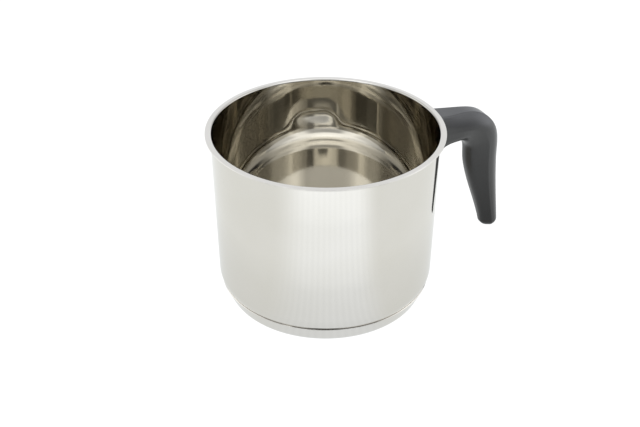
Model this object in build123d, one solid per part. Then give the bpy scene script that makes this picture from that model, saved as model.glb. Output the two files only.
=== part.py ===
from build123d import *
import os
from math import atan2, cos, radians, sin, sqrt, tan

# Milk pan: a deep-drawn steel pan on a sandwich base, with one black moulded handle that
# leaves the wall under the rim, turns down and ends free. Sizes are in millimetres and
# angles in degrees. The origin is the centre of the base's underside, +Z is up, and the
# handle points along +X.

# Drawn shell
pan_height = 115.7
mouth_radius = 70.0
shell_wall = 0.8
foot_inset = 1.9
corner_radius = 14.0
rim_width = 3.2
rim_bend_radius = 1.5
rim_droop_angle = 3.6
rim_edge_round = 0.3

# Sandwich base: an aluminium core held under the shell by a pressed steel cap
core_thickness = 5.25
cap_sheet = 0.5
seam_rise = 6.5
seam_groove = 1.2
seam_gap = 0.45
cap_taper = 5.4
cap_round_radius = 6.2
cap_lip_round = 0.25
stand_band_width = 9.0
recess_inner_radius = 22.0
recess_depth = 0.3
recess_ramp = 2.0

# Moulded handle, side view
arm_drop = 5.6
arm_fall_angle = 3.8
arm_depth = 20.7
root_flare = 11.4
handle_reach = 53.4
bend_radius = 26.6
inner_bend_radius = 10.0
grip_depth = 23.1
grip_length = 68.1
grip_kick = 6.6
kick_angle = 7.8
palm_angle = 13.0
tip_depth = 12.9
tip_round = 5.3
seat_gap = 0.15

# Moulded handle, cross-section
arm_width = 22.6
grip_width = 21.2
tip_width = 13.0
bevel_depth = 10.9
root_draft_share = 0.07
grip_draft_share = 0.49
root_facet_share = 0.8
grip_facet_share = 0.4
bevel_bulge_share = 0.3
facet_edge_radius = 2.0
bevel_round_radius = 14.0
crease_radius = 1.6
palm_edge_radius = 7.5
bevel_most_share = 0.57
palm_most_share = 0.66

# Steel bracket in the handle's root
bracket_sheet = 2.0
bracket_width = 14.0
bracket_bend_radius = 1.5
tongue_length = 24.0
tongue_drop = 13.0
flange_height = 13.0
flange_dish = 1.0
bracket_clearance = 0.4

# Fasteners
screw_radius = 2.0
screw_fit = 0.05
screw_hole_radius = 2.3
screw_inset = 15.0
screw_overrun = 1.0
head_radius = 3.9
head_height = 2.6
head_round = 0.9
drive_width = 0.9
drive_span = 4.6
drive_depth = 1.4
nut_width = 7.0
nut_height = 3.2
nut_chamfer = 0.4
washer_radius = 3.6
washer_thickness = 0.9
washer_split = 0.5
washer_split_angle = 30
web_thickness = 3.0
counterbore_radius = 4.5

# One overrun serves every cut
cut_overrun = 2.0

# Places that follow from the sizes above
wall_radius = mouth_radius + shell_wall
rim_radius = wall_radius + rim_width
floor_level = cap_sheet + core_thickness
seam_level = floor_level + seam_rise
# The rim's bend is its highest place, and the corner that it rounds lies a little above it
rim_corner_share = tan(radians((90 + rim_droop_angle) / 2)) - 1
flare_level = pan_height - shell_wall + rim_bend_radius * rim_corner_share
lip_level = flare_level - rim_width * tan(radians(rim_droop_angle))
wall_tilt = atan2(foot_inset, flare_level - floor_level)
foot_radius = wall_radius - foot_inset

arm_top_level = pan_height - arm_drop
arm_under_level = arm_top_level - arm_depth
bend_centre_x = wall_radius + handle_reach - bend_radius
bend_start_x = bend_centre_x + bend_radius * sin(radians(arm_fall_angle))
palm_x = wall_radius + handle_reach - grip_depth
palm_centre_x = palm_x - inner_bend_radius
palm_centre_z = arm_under_level - inner_bend_radius

tongue_level = arm_top_level - tongue_drop
screw_x = wall_radius + screw_inset
counterbore_level = tongue_level - web_thickness
nut_level = tongue_level + bracket_sheet


def lathe(face):
    """Turn a face drawn in the X-Z plane about the pan's axis."""
    return revolve(face, axis=Axis.Z)


def shell_line():
    """Outside of the shell, from the centre of its floor to the edge of the rim."""
    return FilletPolyline(
        (0, floor_level),
        (foot_radius, floor_level),
        (wall_radius, flare_level),
        (rim_radius, lip_level),
        radius=[corner_radius, rim_bend_radius],
    )


def thick_face(line, thickness, side):
    """Face that lies on one side of a line, as thick as the sheet."""
    band = Wire(line.edges()).offset_2d(thickness, side=side, closed=True)
    return Plane.XZ * make_face(band.edges())


def make_shell():
    shell = lathe(thick_face(shell_line(), shell_wall, Side.LEFT))
    rim_edges = shell.edges().filter_by(GeomType.CIRCLE).sort_by(lambda e: e.radius)[-2:]
    return fillet(rim_edges, rim_edge_round)


def make_envelope(gap):
    """Everything inside the shell's outer surface and under its rim, grown by a gap, as a cutter."""
    outline = FilletPolyline(
        (0, floor_level - gap),
        (foot_radius + gap, floor_level - gap),
        (wall_radius + gap, flare_level - gap),
        (rim_radius, lip_level - gap),
        radius=[corner_radius + gap, rim_bend_radius - gap],
    )
    roof = pan_height + cut_overrun
    closed = Polyline(outline @ 1, (rim_radius, roof), (0, roof), outline @ 0)
    return lathe(Plane.XZ * make_face(outline.edges() + closed.edges()))


def corner_radius_at(level):
    """Radius of the shell's outside at a level within its rounded corner."""
    turn = radians(90) - wall_tilt
    centre_r = foot_radius - corner_radius * tan(turn / 2)
    below_centre = floor_level + corner_radius - level
    return centre_r + sqrt(corner_radius**2 - below_centre**2)


seam_radius = corner_radius_at(seam_level)
cap_top_radius = seam_radius + seam_gap + cap_sheet
cap_foot_radius = cap_top_radius - cap_taper

# The pan stands on a flat band that starts where the cap's rounded foot ends
cap_lean = atan2(cap_taper, seam_level)
stand_radius = cap_foot_radius - cap_round_radius * tan((radians(90) - cap_lean) / 2)
recess_outer_radius = stand_radius - stand_band_width


def cap_line():
    """Outside of the cap, with a shallow ring pressed into its underside."""
    tiny = recess_ramp / 2
    return FilletPolyline(
        (0, 0),
        (recess_inner_radius, 0),
        (recess_inner_radius + recess_ramp, recess_depth),
        (recess_outer_radius - recess_ramp, recess_depth),
        (recess_outer_radius, 0),
        (cap_foot_radius, 0),
        (cap_top_radius, seam_level),
        radius=[tiny, tiny, tiny, tiny, cap_round_radius],
    )


def make_cap():
    cap = lathe(thick_face(cap_line(), cap_sheet, Side.LEFT))
    lip = cap.edges().filter_by(GeomType.CIRCLE).sort_by(lambda e: e.radius)[-1]
    cap = fillet(lip, cap_lip_round)
    return cap - make_envelope(0)


def make_core():
    """Aluminium disc that fills the space between the cap and the shell."""
    top = seam_level - seam_groove
    puck = Plane.XY * Cylinder(cap_top_radius, top, align=(Align.CENTER, Align.CENTER, Align.MIN))
    inside_cap = cap_line().edges()
    closed = Polyline(inside_cap[-1] @ 1, (0, seam_level), (0, 0))
    cap_block = lathe(Plane.XZ * make_face(inside_cap + closed.edges()))
    cap_shell = lathe(thick_face(cap_line(), cap_sheet, Side.LEFT))
    return (cap_block & puck) - cap_shell - make_envelope(0)


def arm_top(x):
    """Level of the arm's top at a distance from the pan's axis."""
    return arm_top_level - (x - wall_radius) * tan(radians(arm_fall_angle))


def glide(points, share):
    """Point at a share of the smooth curve that a row of control points pulls."""
    while len(points) > 1:
        points = [tuple(a + share * (b - a) for a, b in zip(p, q)) for p, q in zip(points, points[1:])]
    return points[0]


def grip_curve(start, end, end_angle):
    """Control points of a line that leaves a point straight down and ends at an angle outwards."""
    leg = (start[1] - end[1]) / 3
    return [start, (start[0], start[1] - leg), (end[0] - leg * tan(radians(end_angle)), end[1] + leg), end]


bend_centre_z = arm_top(bend_start_x) - bend_radius * cos(radians(arm_fall_angle))
tip_level = bend_centre_z - grip_length
tip_x = wall_radius + handle_reach + grip_kick

# The arm's sections start inside the wall, where the pan cuts them off
root_share = -0.12
arm_steps = 4
bend_steps = 4
grip_steps = 7
tip_angles = (25, 50, 70, 84)


def arm_station(share):
    """Outer point, inner point, half width, facet share and draft share of a section along the arm."""
    outer_x = wall_radius + share * (bend_start_x - wall_radius)
    half_run = (palm_centre_x - wall_radius) / 2
    under = [
        (wall_radius, arm_under_level - root_flare),
        (wall_radius + half_run, arm_under_level),
        (palm_centre_x, arm_under_level),
    ]
    facet = root_facet_share + share * (grip_facet_share - root_facet_share)
    return (outer_x, arm_top(outer_x)), glide(under, share), arm_width / 2, facet, root_draft_share


def bend_station(share):
    outer_turn = radians(arm_fall_angle + share * (90 - arm_fall_angle))
    inner_turn = radians(share * 90)
    outer = (bend_centre_x + bend_radius * sin(outer_turn), bend_centre_z + bend_radius * cos(outer_turn))
    inner = (palm_centre_x + inner_bend_radius * sin(inner_turn),
             palm_centre_z + inner_bend_radius * cos(inner_turn))
    half_width = (arm_width + share * (grip_width - arm_width)) / 2
    draft = root_draft_share + share * (grip_draft_share - root_draft_share)
    return outer, inner, half_width, grip_facet_share, draft


def grip_station(share):
    end_level = tip_level + tip_round
    back = grip_curve((wall_radius + handle_reach, bend_centre_z), (tip_x, end_level), kick_angle)
    palm = grip_curve((palm_x, palm_centre_z), (tip_x - tip_depth, end_level), palm_angle)
    narrowing = 1 - cos(radians(90 * share))
    half_width = (grip_width - narrowing * (grip_width - tip_width)) / 2
    return glide(back, share), glide(palm, share), half_width, grip_facet_share, grip_draft_share


def handle_section(outer, inner, half_width, facet, draft, scale_share=1.0):
    """Section with a flat back, two bulged bevels, and sides that draw in to a rounded palm side."""
    depth = sqrt((outer[0] - inner[0])**2 + (outer[1] - inner[1])**2)
    size_share = 2 * half_width / arm_width
    bevel = min(bevel_depth * size_share, bevel_most_share * depth)
    palm_edge = min(palm_edge_radius * size_share, palm_most_share * (depth - bevel))
    bevel_run = (1 - facet) * half_width
    chord = sqrt(bevel_run**2 + bevel**2)
    bulge = bevel_bulge_share * bevel_run
    bulge_x = depth - bevel / 2 + bulge * bevel_run / chord
    bulge_y = half_width - bevel_run / 2 + bulge * bevel / chord
    corners = (
        (depth, facet * half_width, facet_edge_radius * size_share),
        (bulge_x, bulge_y, bevel_round_radius * size_share),
        (depth - bevel, half_width, crease_radius * size_share),
        (0, (1 - draft) * half_width, palm_edge),
    )
    ring = [*corners, *[(x, -y, radius) for x, y, radius in reversed(corners)]]
    middle = depth / 2
    outline = FilletPolyline(
        *[((x - middle) * scale_share, y * scale_share) for x, y, radius in ring],
        radius=[radius * scale_share for x, y, radius in ring],
        close=True,
    )
    centre = ((outer[0] + inner[0]) / 2, 0, (outer[1] + inner[1]) / 2)
    along = (outer[0] - inner[0], 0, outer[1] - inner[1])
    plane = Plane(origin=centre, x_dir=along, z_dir=Vector(along).cross(Vector(0, 1, 0)))
    return plane * make_face(outline.edges())


def make_handle_blank():
    """The handle's outer form: a smooth loft from inside the wall to the tip, and a domed tip."""
    stations = [arm_station(root_share + step * (1 - root_share) / arm_steps) for step in range(arm_steps)]
    stations += [bend_station(step / bend_steps) for step in range(bend_steps)]
    stations += [grip_station(step / grip_steps) for step in range(grip_steps + 1)]
    body = loft([handle_section(*station) for station in stations])
    outer, inner, *laws = stations[-1]
    dome = [handle_section(outer, inner, *laws)]
    for angle in tip_angles:
        drop = tip_round * sin(radians(angle))
        drift = drop * tan(radians((kick_angle + palm_angle) / 2))
        lower_outer = (outer[0] + drift, outer[1] - drop)
        lower_inner = (inner[0] + drift, inner[1] - drop)
        dome.append(handle_section(lower_outer, lower_inner, *laws, cos(radians(angle))))
    return body + loft(dome)


def box_between(low, high):
    """Block from one corner to the opposite one."""
    size = [b - a for a, b in zip(low, high)]
    middle = [(a + b) / 2 for a, b in zip(low, high)]
    return Pos(*middle) * Box(*size)


def make_bracket():
    """Steel strip bent to an L: the flange is welded to the wall, the tongue carries the nut."""
    flange_foot = nut_level - flange_height
    path = FilletPolyline(
        (wall_radius + bracket_sheet, flange_foot),
        (wall_radius + bracket_sheet, tongue_level),
        (wall_radius + tongue_length, tongue_level),
        radius=[bracket_bend_radius],
    )
    strip = extrude(thick_face(path, bracket_sheet, Side.LEFT), bracket_width / 2, both=True)
    # The flange is dished until it lies on the round, slightly tapered wall
    dished = box_between(
        (wall_radius - flange_dish, -bracket_width / 2, flange_foot),
        (wall_radius, bracket_width / 2, tongue_level),
    )
    hole = Pos(screw_x, 0, tongue_level) * Cylinder(screw_hole_radius, 2 * (bracket_sheet + cut_overrun))
    return strip + dished - hole - make_envelope(0)


def make_socket():
    """Space for the bracket and its nut, open at the handle's seat on the wall."""
    half = bracket_width / 2 + bracket_clearance
    tongue_end = wall_radius + tongue_length + bracket_clearance
    nut_top = nut_level + nut_height + screw_overrun + bracket_clearance
    tongue_room = box_between(
        (wall_radius - cut_overrun, -half, tongue_level),
        (tongue_end, half, nut_top),
    )
    flange_room = box_between(
        (wall_radius - cut_overrun, -half, nut_level - flange_height - bracket_clearance),
        (wall_radius + bracket_sheet + bracket_bend_radius, half, nut_top),
    )
    return tongue_room + flange_room


def make_handle():
    """Moulded handle with its socket, and the counterbored hole for the screw from below."""
    hole_length = web_thickness + 2 * cut_overrun
    hole = Pos(screw_x, 0, counterbore_level + web_thickness / 2) * Cylinder(screw_hole_radius, hole_length)
    well_depth = counterbore_level - (arm_under_level - root_flare) + cut_overrun
    well = Pos(screw_x, 0, counterbore_level - well_depth / 2) * Cylinder(counterbore_radius, well_depth)
    return make_handle_blank() - make_envelope(seat_gap) - make_socket() - hole - well


def make_nut():
    """Square nut welded on top of the tongue."""
    block = Pos(screw_x, 0, nut_level + nut_height / 2) * Box(nut_width, nut_width, nut_height)
    block = chamfer(block.edges().group_by(Axis.Z)[-1], nut_chamfer)
    return block - Pos(screw_x, 0, nut_level) * Cylinder(screw_radius + screw_fit, 4 * nut_height)


def make_washer():
    """Split spring washer between the screw's head and the bottom of its well."""
    level = counterbore_level - washer_thickness / 2
    ring = Cylinder(washer_radius, washer_thickness) - Cylinder(screw_hole_radius, 2 * washer_thickness)
    cut = Box(2 * washer_radius, washer_split, 4 * washer_thickness)
    split = Pos(washer_radius, 0, 0) * Rot(washer_split_angle, 0, 0) * cut
    return Pos(screw_x, 0, level) * (ring - split)


def make_screw():
    """Pan-head screw with a cross recess, driven up from under the arm."""
    head_top = counterbore_level - washer_thickness
    head = Cylinder(head_radius, head_height, align=(Align.CENTER, Align.CENTER, Align.MAX))
    head = fillet(head.edges().group_by(Axis.Z)[0], head_round)
    slot = Pos(0, 0, -head_height) * Box(drive_span, drive_width, 2 * drive_depth)
    head = head - slot - Rot(0, 0, 90) * slot
    shank_end = nut_level + nut_height + screw_overrun
    shank = Cylinder(screw_radius, shank_end - head_top, align=(Align.CENTER, Align.CENTER, Align.MIN))
    return Pos(screw_x, 0, head_top) * (head + shank)


def export_nodes():
    os.makedirs("parts", exist_ok=True)
    nodes = {
        "pan_body": make_shell,
        "base_core": make_core,
        "base_cap": make_cap,
        "handle_bracket": make_bracket,
        "weld_nut": make_nut,
        "handle_grip": make_handle,
        "spring_washer": make_washer,
        "handle_screw": make_screw,
    }
    for name, make in nodes.items():
        export_step(make(), f"parts/{name}.step")


export_nodes()
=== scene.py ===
from math import atan2, ceil, cos, hypot, pi, radians, sin, tan

import bpy
from mathutils import Matrix, Vector


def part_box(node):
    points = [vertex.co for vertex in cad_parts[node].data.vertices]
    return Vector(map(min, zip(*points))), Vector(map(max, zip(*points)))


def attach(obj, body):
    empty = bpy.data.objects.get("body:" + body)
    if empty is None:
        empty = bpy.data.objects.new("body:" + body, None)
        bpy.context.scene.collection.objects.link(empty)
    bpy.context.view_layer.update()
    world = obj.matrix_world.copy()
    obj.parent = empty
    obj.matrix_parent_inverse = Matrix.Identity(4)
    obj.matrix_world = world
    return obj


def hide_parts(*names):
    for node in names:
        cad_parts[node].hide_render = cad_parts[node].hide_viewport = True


# Milk pan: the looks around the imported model. Lengths are in metres, angles in degrees.
# The pan's axis is Z, its handle points along +X and it stands on the plane Z = 0.

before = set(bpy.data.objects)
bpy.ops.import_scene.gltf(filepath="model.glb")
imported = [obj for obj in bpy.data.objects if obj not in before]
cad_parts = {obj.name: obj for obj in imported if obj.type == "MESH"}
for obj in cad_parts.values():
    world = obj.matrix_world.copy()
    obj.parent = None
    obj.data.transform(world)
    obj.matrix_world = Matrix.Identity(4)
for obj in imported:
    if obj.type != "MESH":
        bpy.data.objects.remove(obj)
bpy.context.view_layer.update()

MM = 0.001

# Drawn shell. The rim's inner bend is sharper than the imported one, so that its flat band is wider
shell_wall = 0.8 * MM
foot_inset = 1.9 * MM
corner_radius = 14.0 * MM
rim_width = 3.2 * MM
rim_bend_radius = 1.5 * MM
rim_inner_bend_radius = 1.1 * MM
rim_droop_angle = 3.6
rim_edge_round = 0.3 * MM

# Sandwich base
cap_sheet = 0.5 * MM
seam_rise = 6.5 * MM
seam_gap = 0.45 * MM
cap_taper = 5.4 * MM
cap_round_radius = 6.2 * MM
cap_lip_round = 0.25 * MM
stand_band_width = 9.0 * MM
recess_inner_radius = 22.0 * MM
recess_depth = 0.3 * MM
recess_ramp = 2.0 * MM

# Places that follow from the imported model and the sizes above
shell_low, shell_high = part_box("pan_body")
# The rim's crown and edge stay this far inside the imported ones, whose faces are fewer and flatter
outline_margin = 0.015 * MM
pan_height = shell_high.z - outline_margin
floor_level = shell_low.z
seam_level = floor_level + seam_rise
wall_radius = 70.8 * MM
rim_radius = wall_radius + rim_width - outline_margin
foot_radius = wall_radius - foot_inset
# The rim's crown is the top of its inner bend, so that bend sets how high the flare's corner is
rim_corner_share = tan(radians((90 + rim_droop_angle) / 2))
flare_level = pan_height - shell_wall * rim_corner_share + rim_inner_bend_radius * (rim_corner_share - 1)
lip_level = flare_level - rim_width * tan(radians(rim_droop_angle))

# How fine the turned meshes are, and how near the pan's axis a point counts as lying on it
turn_steps = 300
arc_step_angle = 4.0
arc_least_steps = 4
run_step = 3.5 * MM
axis_reach = 1e-9

# Camera: turned from the pan's front towards the side away from the handle
camera_turn = 24.5
camera_height_angle = 32.31
camera_roll = 0.13
camera_distance = 0.7
aim_offset = -3.4 * MM
aim_height = 53.85 * MM
focal_length = 61.23
sensor_width = 36.0


def unit(a, b):
    """Direction from one point of a profile to another."""
    length = hypot(b[0] - a[0], b[1] - a[1])
    return (b[0] - a[0]) / length, (b[1] - a[1]) / length


def offset_corners(corners, distance):
    """Corners of the line that runs beside a line of corners, at a distance to its left."""
    shifted = []
    for i, (x, y) in enumerate(corners):
        sides = []
        if i > 0:
            sides.append(unit(corners[i - 1], corners[i]))
        if i < len(corners) - 1:
            sides.append(unit(corners[i], corners[i + 1]))
        normals = [(-dy, dx) for dx, dy in sides]
        across = (sum(n[0] for n in normals), sum(n[1] for n in normals))
        if len(normals) == 1:
            stretch = distance
        else:
            stretch = distance / (1 + normals[0][0] * normals[1][0] + normals[0][1] * normals[1][1])
        shifted.append((x + across[0] * stretch, y + across[1] * stretch))
    return shifted


def rounded_line(corners, radii):
    """Points and exact right-hand normals along a line of corners, each rounded by its radius."""
    points = []
    start = corners[0]
    for i, radius in enumerate(radii):
        corner = corners[i + 1]
        into = unit(corners[i], corner)
        onward = unit(corner, corners[i + 2])
        turn = atan2(into[0] * onward[1] - into[1] * onward[0], into[0] * onward[0] + into[1] * onward[1])
        side = 1 if turn > 0 else -1
        reach = radius * tan(abs(turn) / 2)
        arc_start = (corner[0] - into[0] * reach, corner[1] - into[1] * reach)
        points += run_points(start, arc_start)
        swing = radius * side
        centre = (arc_start[0] - into[1] * swing, arc_start[1] + into[0] * swing)
        steps = max(arc_least_steps, ceil(abs(turn) / radians(arc_step_angle)))
        for step in range(1, steps):
            angle = turn * step / steps
            normal = (
                into[0] * sin(angle) + into[1] * cos(angle),
                into[1] * sin(angle) - into[0] * cos(angle),
            )
            points.append((centre[0] + normal[0] * swing, centre[1] + normal[1] * swing, *normal))
        start = (corner[0] + onward[0] * reach, corner[1] + onward[1] * reach)
    return points + run_points(start, corners[-1])


def run_points(start, end):
    """Points along a straight run, ends included, with its right-hand normal."""
    along = unit(start, end)
    normal = (along[1], -along[0])
    length = hypot(end[0] - start[0], end[1] - start[1])
    steps = max(1, ceil(length / run_step))
    across, upward = end[0] - start[0], end[1] - start[1]
    shares = [step / steps for step in range(steps + 1)]
    return [(start[0] + s * across, start[1] + s * upward, *normal) for s in shares]


def turned_mesh(name, profile, finish, lean=None):
    """
    Mesh made by turning a profile about Z, with exact normals. finish gives a face's material
    index. lean gives the slope of a slight wave in the sheet, which only turns the normals.
    """
    rings = [p for p in profile if p[0] > axis_reach]
    verts, normals, faces, finishes = [], [], [], []
    for radius, level, out, up in rings:
        for k in range(turn_steps):
            angle = 2 * pi * k / turn_steps
            slope = lean(angle, level, out) if lean else 0.0
            verts.append((radius * cos(angle), radius * sin(angle), level))
            normals.append(Vector((out * cos(angle), out * sin(angle), up - out * slope)).normalized())
    for i in range(len(rings) - 1):
        for k in range(turn_steps):
            near, far = i * turn_steps, (i + 1) * turn_steps
            after = (k + 1) % turn_steps
            faces.append((near + k, near + after, far + after, far + k))
            finishes.append(finish(rings[i], rings[i + 1]))
    for end, ring in ((profile[0], 0), (profile[-1], len(rings) - 1)):
        if end[0] > axis_reach:
            continue
        verts.append((0, 0, end[1]))
        normals.append((0, 0, end[3]))
        pole = len(verts) - 1
        for k in range(turn_steps):
            first, second = ring * turn_steps + k, ring * turn_steps + (k + 1) % turn_steps
            faces.append((pole, second, first) if ring == 0 else (first, second, pole))
            finishes.append(finish(rings[ring], end))
    mesh = bpy.data.meshes.new(name)
    mesh.from_pydata(verts, [], faces)
    mesh.polygons.foreach_set("use_smooth", [True] * len(faces))
    mesh.polygons.foreach_set("material_index", finishes)
    mesh.normals_split_custom_set_from_vertices(normals)
    return mesh


def add_piece(name, mesh, materials, slot, *nodes):
    """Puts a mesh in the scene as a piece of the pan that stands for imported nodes."""
    for material in materials:
        mesh.materials.append(material)
    piece = bpy.data.objects.new(name, mesh)
    bpy.context.scene.collection.objects.link(piece)
    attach(piece, "root")
    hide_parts(*nodes)


def grey(level):
    """Colour without a tint."""
    return (level, level, level, 1)


class Nodes:
    """Short calls that add shader nodes to a node tree and link them."""

    def __init__(self, tree):
        self.tree = tree
        tree.nodes.clear()

    def add(self, kind, **settings):
        node = self.tree.nodes.new(kind)
        for key, value in settings.items():
            setattr(node, key, value)
        return node

    def feed(self, socket, value):
        if isinstance(value, bpy.types.NodeSocket):
            self.tree.links.new(value, socket)
        else:
            socket.default_value = value

    def math(self, operation, *values):
        node = self.add("ShaderNodeMath", operation=operation)
        for socket, value in zip(node.inputs, values):
            self.feed(socket, value)
        return node.outputs[0]

    def mix(self, share, first, second, blend="MIX"):
        """Colour between two colours."""
        node = self.add("ShaderNodeMix", data_type="RGBA", blend_type=blend)
        for name, value in (("Factor_Float", share), ("A_Color", first), ("B_Color", second)):
            self.feed(next(s for s in node.inputs if s.identifier == name), value)
        return next(s for s in node.outputs if s.identifier == "Result_Color")

    def tint(self, first, second):
        """One colour times another."""
        return self.mix(1.0, first, second, "MULTIPLY")

    def times(self, first, second):
        """One number times another."""
        return self.math("MULTIPLY", first, second)

    def length(self, x, y):
        """Length of a flat direction, from its two parts."""
        return self.math("SQRT", self.math("ADD", self.times(x, x), self.times(y, y)))

    def spread(self, value, low, high, to_low=0.0, to_high=1.0, smooth=False):
        """Value carried from one range to another, held at the ends."""
        kind = "SMOOTHSTEP" if smooth else "LINEAR"
        node = self.add("ShaderNodeMapRange", interpolation_type=kind)
        for socket, v in zip(node.inputs, (value, low, high, to_low, to_high)):
            self.feed(socket, v)
        return node.outputs[0]

    def ramp(self, value, stops):
        """Brightness read from a list of place and brightness."""
        node = self.add("ShaderNodeValToRGB")
        points = node.color_ramp.elements
        while len(points) < len(stops):
            points.new(0.5)
        for point, (place, level) in zip(points, stops):
            point.position = place
            point.color = grey(level)
        self.feed(node.inputs[0], value)
        return node.outputs[0]

    def split(self, vector):
        node = self.add("ShaderNodeSeparateXYZ")
        self.feed(node.inputs[0], vector)
        return node.outputs[:]

    def join(self, x, y, z):
        node = self.add("ShaderNodeCombineXYZ")
        for socket, value in zip(node.inputs, (x, y, z)):
            self.feed(socket, value)
        return node.outputs[0]

    def noise(self, vector, scale, detail=3.0):
        node = self.add("ShaderNodeTexNoise")
        for name, value in (("Vector", vector), ("Scale", scale), ("Detail", detail)):
            self.feed(node.inputs[name], value)
        return node.outputs["Fac"]

    def bump(self, height, depth, below=None):
        node = self.add("ShaderNodeBump")
        self.feed(node.inputs["Height"], height)
        self.feed(node.inputs["Distance"], depth)
        if below is not None:
            self.feed(node.inputs["Normal"], below)
        return node.outputs[0]

    def place(self):
        """Place on the piece in metres, in the pan's own frame."""
        return self.add("ShaderNodeTexCoord").outputs["Object"]

    def seen(self):
        """1 where the camera looks straight at the surface, and 0 in mirrors."""
        return self.add("ShaderNodeLightPath").outputs["Is Camera Ray"]

    def finish(self, **inputs):
        """The surface shader, with its sockets fed by name."""
        shader = self.add("ShaderNodeBsdfPrincipled")
        for name, value in inputs.items():
            self.feed(shader.inputs[name.replace("_", " ")], value)
        output = self.add("ShaderNodeOutputMaterial")
        self.tree.links.new(shader.outputs[0], output.inputs[0])


def new_material(name):
    material = bpy.data.materials.new(name)
    material.use_nodes = True
    return material, Nodes(material.node_tree)


# Each steel has a clearer and a duller colour, which lie over it in soft clouds
outer_steel = ((0.71, 0.685, 0.635, 1), (0.69, 0.665, 0.61, 1))
inner_steel = ((0.71, 0.685, 0.625, 1), (0.69, 0.665, 0.605, 1))
# Painted shade: the colour that darkens the inner wall's far sides, where its reflection is darker
painted_shade_steel = (0.43, 0.41, 0.365, 1)
# The inner wall has painted shade at both sides of its far half: a darker colour there, for the darker
# reflection that it shows. Shares of the way from the pan's axis towards the camera between which the
# painted shade starts, and ends again
painted_shade_from = (-0.93, -0.78)
painted_shade_to = (-0.15, 0.1)
# Ranges of a noise that are spread over a colour, and over a roughness
cloud_range = (0.35, 0.7)
grain_range = (0.3, 0.7)
# Upright drawing lines: how far the fine and the broad noise are drawn out, and how much deeper
# the broad one is
line_draw_share = 0.015
broad_line_share = 2.2
# Turned rings: how far their noise is drawn out upwards
ring_draw_share = 0.2


def front_and_side(n, x, y):
    """How far a place or direction lies towards the camera's side of the pan, and to its right."""
    right, _, back = camera_axes()
    front = back.xy.normalized()
    ahead = n.math("ADD", n.times(x, front.x), n.times(y, front.y))
    aside = n.math("ADD", n.times(x, right.x), n.times(y, right.y))
    return ahead, aside


def far_side_painted_shade(n, x, y):
    """Share of painted shade at both sides of the inner wall's far half."""
    facing = n.math("DIVIDE", front_and_side(n, x, y)[0], n.length(x, y))
    return n.times(
        n.spread(facing, *painted_shade_from, 0.0, 1.0, smooth=True),
        n.spread(facing, *painted_shade_to, 1.0, 0.0, smooth=True),
    )


def steel_wall(name, colours, line_depth, roughness_low, roughness_high, painted_shade=None):
    """Drawn steel, polished to a mirror, with faint upright lines. Its last argument is the colour of the
    painted shade at the far sides of the inner wall.
    """
    material, n = new_material(name)
    x, y, z = n.split(n.place())
    upright = n.join(x, y, n.times(z, line_draw_share))
    fine = n.noise(upright, 520.0, detail=2.0)
    broad = n.noise(upright, 90.0, detail=1.0)
    cloud = n.noise(n.place(), 28.0)
    lines = n.bump(fine, line_depth, below=n.bump(broad, line_depth * broad_line_share))
    colour = n.mix(n.spread(cloud, *cloud_range), *colours)
    # Painted shade: the far sides of the inner wall are darkened in colour
    if painted_shade:
        colour = n.mix(far_side_painted_shade(n, x, y), colour, painted_shade)
    n.finish(
        Base_Color=colour,
        Metallic=1.0,
        Roughness=n.spread(cloud, *grain_range, roughness_low, roughness_high),
        Normal=lines,
    )
    return material


def steel_turned(name, colours, line_depth, roughness_low, roughness_high):
    """Polished steel with fine rings about the pan's axis, as a lathe leaves them."""
    material, n = new_material(name)
    x, y, z = n.split(n.place())
    rings = n.noise(n.join(n.length(x, y), n.times(z, ring_draw_share), 0.0), 900.0, detail=4.0)
    cloud = n.noise(n.place(), 35.0)
    n.finish(
        Base_Color=n.mix(n.spread(cloud, *cloud_range), *colours),
        Metallic=1.0,
        Roughness=n.spread(rings, *grain_range, roughness_low, roughness_high),
        Normal=n.bump(rings, line_depth),
    )
    return material


# Slight wave in the inner wall, high up at the far side, where the wall leans in: turn from the
# far side, half widths of all of it and of its full middle, most slope, and the levels where it
# starts, is full and ends
wave_turn = -6.7
wave_half_width = 21.0
wave_full_half = 6.0
wave_slope = 0.037
wave_levels = (79 * MM, 88 * MM, 94 * MM, 113.5 * MM)

# The outward part of a normal below which the wave and the inner finish start, and the upward
# part above which the floor's finish starts
wave_out = -0.9
inner_finish_out = -0.3
floor_finish_up = 0.7


def hill(value, low, first, last, high):
    """Smooth hill from low to high, of height 1 between first and last."""
    if first <= value <= last:
        return 1.0
    foot, top = (low, first) if value < first else (high, last)
    share = max(0.0, (value - foot) / (top - foot))
    return share**2 * (3 - 2 * share)


def wall_wave(angle, level, out):
    """Slope of the wave at a place of the shell. Only the inner wall has it."""
    if out > wave_out:
        return 0.0
    far = radians(90 - camera_turn - wave_turn)
    off = (angle - far + pi) % (2 * pi) - pi
    half, full = radians(wave_half_width), radians(wave_full_half)
    return -wave_slope * hill(off, -half, -full, full, half) * hill(level, *wave_levels)


def make_shell():
    """Drawn shell with its flared rim, in three finishes: outside, floor and inner wall."""
    outside = [
        (0, floor_level),
        (foot_radius, floor_level),
        (wall_radius, flare_level),
        (rim_radius, lip_level),
    ]
    inside = offset_corners(outside, shell_wall)
    radii = [corner_radius, rim_bend_radius, rim_edge_round, rim_edge_round]
    radii += [rim_inner_bend_radius, corner_radius - shell_wall]
    profile = rounded_line(outside + inside[::-1], radii)

    def finish(a, b):
        if a[3] + b[3] > 2 * floor_finish_up and a[1] < floor_level + corner_radius:
            return 1
        return 2 if a[2] + b[2] < 2 * inner_finish_out else 0

    mesh = turned_mesh("pan_shell", profile, finish, lean=wall_wave)
    materials = [
        steel_wall("steel_outside", outer_steel, 0.004 * MM, 0.03, 0.06),
        steel_turned("steel_pan_floor", inner_steel, 0.0008 * MM, 0.03, 0.06),
        steel_wall("steel_inside", inner_steel, 0.0, 0.02, 0.05, painted_shade_steel),
    ]
    add_piece("pan_shell", mesh, materials, "polished_steel", "pan_body")


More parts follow.
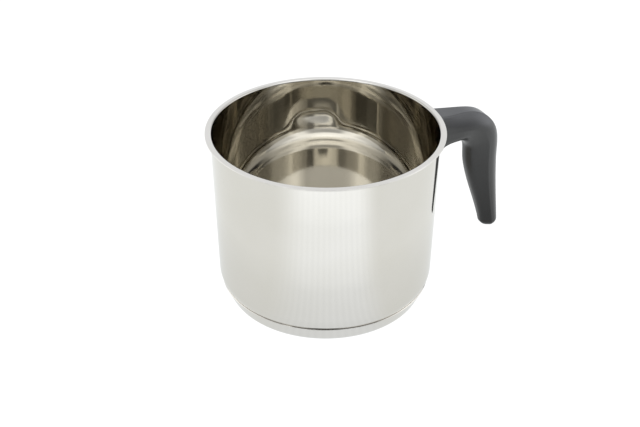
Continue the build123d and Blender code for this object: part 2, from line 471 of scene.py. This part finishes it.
def corner_radius_at(level):
    """Radius of the shell's outside at a level within its rounded corner."""
    turn = radians(90) - atan2(foot_inset, flare_level - floor_level)
    centre = foot_radius - corner_radius * tan(turn / 2)
    below_centre = floor_level + corner_radius - level
    return centre + (corner_radius**2 - below_centre**2) ** 0.5


def cap_top_radius():
    """Radius of the cap's outside at its lip, where the seam line runs."""
    return corner_radius_at(seam_level) + seam_gap + cap_sheet


def stand_radius():
    """Outer radius of the ring that the pan stands on."""
    foot = cap_top_radius() - cap_taper
    return foot - cap_round_radius * tan((radians(90) - atan2(cap_taper, seam_level)) / 2)


def make_cap():
    """Pressed cap of the base, with a shallow ring pressed into its underside."""
    top_radius = cap_top_radius()
    foot = top_radius - cap_taper
    recess_outer = stand_radius() - stand_band_width
    recess_round = recess_ramp / 2
    outside = [
        (0, 0),
        (recess_inner_radius, 0),
        (recess_inner_radius + recess_ramp, recess_depth),
        (recess_outer - recess_ramp, recess_depth),
        (recess_outer, 0),
        (foot, 0),
        (top_radius, seam_level),
    ]
    inside = offset_corners(outside, cap_sheet)[-1]
    radii = [*[recess_round] * 4, cap_round_radius, cap_lip_round]
    profile = rounded_line([*outside, (inside[0] - cap_lip_round, inside[1])], radii)

    def finish(a, b):
        return 1 if max(a[1], b[1]) < 2 * recess_depth else 0

    mesh = turned_mesh("base_cap_shell", profile, finish)
    materials = [
        steel_turned("steel_cap_side", outer_steel, 0.0015 * MM, 0.05, 0.1),
        steel_turned("steel_cap_underside", outer_steel, 0.008 * MM, 0.12, 0.3),
    ]
    add_piece("base_cap_shell", mesh, materials, "base_steel", "base_cap")


# Moulding: its two blacks, and the levels between which its sheen grows, with the sheen at both
black_colours = ((0.010, 0.0095, 0.009, 1), (0.015, 0.0145, 0.014, 1))
sheen_levels = (25 * MM, 100 * MM)
sheen = (0.26, 0.62)


def moulding_material():
    """Satin black phenolic moulding: fine grain, paler flow clouds, and less sheen towards its tip."""
    material, n = new_material("black_moulding")
    level = n.split(n.place())[2]
    grain = n.noise(n.place(), 2600.0, detail=2.0)
    cloud = n.noise(n.place(), 60.0)
    n.finish(
        Base_Color=n.mix(n.spread(cloud, *cloud_range), *black_colours),
        IOR=1.6,
        Specular_IOR_Level=n.spread(level, *sheen_levels, *sheen),
        Roughness=n.spread(grain, *grain_range, 0.24, 0.32),
        Normal=n.bump(grain, 0.012 * MM),
    )
    return material


# Grain of the hidden metal parts: how dark its hollows are, and how much rougher its heights
grain_dark_share = 0.8
grain_roughness = 0.15


def plain_metal(name, colour, roughness, scale):
    """Plain metal with a fine grain, whose hollows are darker."""
    material, n = new_material(name)
    grain = n.noise(n.place(), scale, detail=4.0)
    darker = [grain_dark_share * c for c in colour[:3]] + [1]
    n.finish(
        Base_Color=n.mix(n.spread(grain, *grain_range), colour, darker),
        Metallic=1.0,
        Roughness=n.spread(grain, *grain_range, roughness, roughness + grain_roughness),
        Normal=n.bump(grain, 0.01 * MM),
    )
    return material


def dress_nodes():
    """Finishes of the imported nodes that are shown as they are."""
    finishes = {
        "handle_grip": moulding_material(),
        "base_core": plain_metal("core_aluminium", (0.75, 0.75, 0.76, 1), 0.3, 900.0),
        "handle_bracket": plain_metal("bracket_steel", (0.55, 0.54, 0.52, 1), 0.3, 700.0),
        "weld_nut": plain_metal("nut_steel", (0.55, 0.54, 0.52, 1), 0.3, 700.0),
        "spring_washer": plain_metal("washer_steel", (0.6, 0.6, 0.58, 1), 0.22, 1500.0),
        "handle_screw": plain_metal("screw_steel", (0.6, 0.6, 0.58, 1), 0.18, 1500.0),
    }
    for name, material in finishes.items():
        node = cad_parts[name]
        node.data.materials.clear()
        node.data.materials.append(material)


def camera_axes():
    """The camera's right, up and backward directions before its roll."""
    turn, height = radians(-camera_turn), radians(camera_height_angle)
    back = Vector((sin(turn) * cos(height), -cos(turn) * cos(height), sin(height)))
    right = Vector((cos(turn), sin(turn), 0))
    return right, back.cross(right), back


def make_camera():
    right, up, back = camera_axes()
    roll = radians(camera_roll)
    level = right * cos(roll) + up * sin(roll)
    upright = up * cos(roll) - right * sin(roll)
    aim = aim_offset * right + Vector((0, 0, aim_height))
    data = bpy.data.cameras.new("photo_camera")
    data.lens = focal_length
    data.sensor_width = sensor_width
    camera = bpy.data.objects.new("photo_camera", data)
    bpy.context.scene.collection.objects.link(camera)
    axes = Matrix((level, upright, back)).transposed().to_4x4()
    camera.matrix_world = Matrix.Translation(aim + back * camera_distance) @ axes
    bpy.context.scene.camera = camera


# The table's light as the steel mirrors it: distance from the pan's axis and brightness, inside
# the fan of light on the camera's side and outside it
# Both lists fall towards the pan's axis: painted shade of the pan on the table
fan_stops = [
    (0.07, 0.90), (0.105, 0.98), (0.122, 1.02), (0.132, 1.09), (0.148, 1.15), (0.164, 1.19),
    (0.196, 1.21), (0.21, 1.27), (0.25, 1.32),
]
plain_stops = [(0.07, 0.86), (0.12, 0.93), (0.15, 0.99), (0.25, 1.0)]
# How far from the pan's axis the two lists can reach, the table's radius, the corners of its round
# edges, and how far it lies below the pan
stops_reach = 0.3
table_radius = 6.0
table_steps = 64
table_drop = 0.05 * MM
# Where the fan starts and is full, and where it fades and ends: turns from the camera's side
fan_left = (-46.0, -13.0)
fan_right = (25.0, 47.0)
plain_colour = (0.975, 1.0, 1.0, 1)
fan_colour = (0.965, 1.0, 1.035, 1)
# Fine streaks in the fan: turn from one to the next, and their share of its brightness
streak_turn = 4.5
streak_share = 0.016
# White that the camera sees behind and under the pan
white_seen = grey(1.1)


def table_mesh():
    """Round table top, with a hole where the pan stands so that its underside is seen and lit."""
    mesh = bpy.data.meshes.new("table_top")
    hole = stand_radius() - stand_band_width / 2
    turns = [2 * pi * k / table_steps for k in range(table_steps)]
    verts = [(reach * cos(turn), reach * sin(turn), 0) for reach in (hole, table_radius) for turn in turns]
    faces = []
    for k in range(table_steps):
        after = (k + 1) % table_steps
        faces.append((k, table_steps + k, table_steps + after, after))
    mesh.from_pydata(verts, [], faces)
    return mesh


def table_light(n):
    """Colour and brightness of the table as the steel mirrors it."""
    x, y = n.split(n.place())[:2]
    ahead, aside = front_and_side(n, x, y)
    within = n.math("DIVIDE", n.length(x, y), stops_reach)
    turn = n.math("DEGREES", n.math("ARCTAN2", aside, ahead))
    share = n.times(
        n.spread(turn, *fan_left, 0.0, 1.0, smooth=True),
        n.spread(turn, *fan_right, 1.0, 0.0, smooth=True),
    )
    plain, fan = (
        n.ramp(within, [(reach / stops_reach, level) for reach, level in stops])
        for stops in (plain_stops, fan_stops)
    )
    ripple = n.math("SINE", n.times(turn, 2 * pi / streak_turn))
    streaks = n.math("ADD", n.times(ripple, streak_share), 1.0)
    fan = n.tint(n.tint(fan, fan_colour), n.join(streaks, streaks, streaks))
    return n.mix(share, n.tint(plain, plain_colour), fan)


def table_white():
    """Plain white to the camera, the table's light to the steel, and nothing at all from below."""
    material, n = new_material("table_white")
    shade = n.add("ShaderNodeEmission")
    n.feed(shade.inputs["Color"], n.mix(n.seen(), table_light(n), white_seen))
    clear = n.add("ShaderNodeBsdfTransparent")
    mixer = n.add("ShaderNodeMixShader")
    n.feed(mixer.inputs[0], n.add("ShaderNodeNewGeometry").outputs["Backfacing"])
    n.feed(mixer.inputs[1], shade.outputs[0])
    n.feed(mixer.inputs[2], clear.outputs[0])
    output = n.add("ShaderNodeOutputMaterial")
    n.feed(output.inputs[0], mixer.outputs[0])
    return material


def make_table():
    mesh = table_mesh()
    mesh.materials.append(table_white())
    table = bpy.data.objects.new("table_top", mesh)
    table.location.z = -table_drop
    bpy.context.scene.collection.objects.link(table)


# Brightness of the tent round the pan: turn from the camera's side, towards its right
tent_stops = [
    (-180, 1.0), (-150, 1.0), (-140, 0.93), (-128, 1.3), (-120, 1.7), (-110, 1.8), (-100, 1.6),
    (-88, 1.3), (-70, 1.1), (-60, 0.75), (-45, 0.65), (-34, 1.4), (0, 2.0), (33, 1.4), (42, 0.4),
    (54, 0.45), (61, 0.9), (70, 1.1), (90, 1.8), (110, 1.8), (120, 1.4), (130, 1.1), (140, 1.0),
    (180, 1.0),
]
tent_colour = (0.985, 1.01, 1.06, 1)
# Brightness of the tent's upper wall and of its roof, in the same way
upper_stops = [
    (-180, 0.6), (-145, 0.7), (-128, 1.6), (-110, 1.7), (-90, 1.0), (-45, 1.0), (-28, 0.8),
    (-14, 0.12), (14, 0.12), (28, 0.8), (45, 1.0), (90, 1.2), (112, 1.8), (130, 1.6), (147, 0.7),
    (180, 0.6),
]
roof_stops = [
    (-180, 1.9), (-90, 1.8), (-40, 1.2), (-14, 0.12), (14, 0.12), (40, 1.2), (90, 1.8), (180, 1.9),
]
# Heights between which the tent's wall turns into its upper wall, and that into its roof
upper_rise = (37.0, 45.0)
roof_rise = (59.0, 69.0)
# Heights between which the roof turns into the even light straight above, and its brightness
top_rise = (78.0, 86.0)
top_level = 2.1
# Dark thing below the camera: turn, half width, top, how soft its sides and its top are, and
# brightness
dark_turn = 3.0
dark_half = 37.0
dark_top = 29.0
dark_side_soft = 3.0
dark_top_soft = 1.5
dark_level = 0.28


def tent_light(n):
    """Colour and brightness of the tent as the steel mirrors it, by direction."""
    x, y, z = n.split(n.add("ShaderNodeTexCoord").outputs["Generated"])
    ahead, aside = front_and_side(n, x, y)
    azimuth = n.math("DEGREES", n.math("ARCTAN2", aside, ahead))
    elevation = n.math("DEGREES", n.math("ARCSINE", z))
    around = n.spread(azimuth, -180.0, 180.0)
    wall, upper, roof = (
        n.ramp(around, [((turn + 180) / 360, level) for turn, level in stops])
        for stops in (tent_stops, upper_stops, roof_stops)
    )
    level = n.mix(n.spread(elevation, *upper_rise, smooth=True), wall, upper)
    level = n.mix(n.spread(elevation, *roof_rise, smooth=True), level, roof)
    level = n.mix(n.spread(elevation, *top_rise, smooth=True), level, grey(top_level))
    off = n.math("ABSOLUTE", n.math("SUBTRACT", azimuth, dark_turn))
    dark = n.times(
        n.spread(off, dark_half - dark_side_soft, dark_half + dark_side_soft, 1.0, 0.0, smooth=True),
        n.spread(elevation, dark_top - dark_top_soft, dark_top + dark_top_soft, 1.0, 0.0, smooth=True),
    )
    return n.tint(n.mix(dark, level, grey(dark_level)), tent_colour)


def make_tent():
    """White tent round the pan, with something dark below the camera. The camera sees plain white."""
    world = bpy.data.worlds.new("tent")
    world.use_nodes = True
    bpy.context.scene.world = world
    n = Nodes(world.node_tree)
    background = n.add("ShaderNodeBackground")
    n.feed(background.inputs["Color"], n.mix(n.seen(), tent_light(n), white_seen))
    output = n.add("ShaderNodeOutputWorld")
    n.feed(output.inputs[0], background.outputs[0])


def set_light_paths():
    scene = bpy.context.scene
    scene.view_settings.view_transform = "Standard"
    scene.cycles.max_bounces = 24
    scene.cycles.glossy_bounces = 20
    scene.cycles.diffuse_bounces = 4
    scene.cycles.caustics_reflective = False
    scene.cycles.caustics_refractive = False
    scene.cycles.use_denoising = True
    # The steel mirrors itself many times over, so surface guides would leave specks in it
    scene.cycles.denoising_input_passes = "RGB"


make_shell()
make_cap()
dress_nodes()
make_camera()
make_table()
make_tent()
set_light_paths()
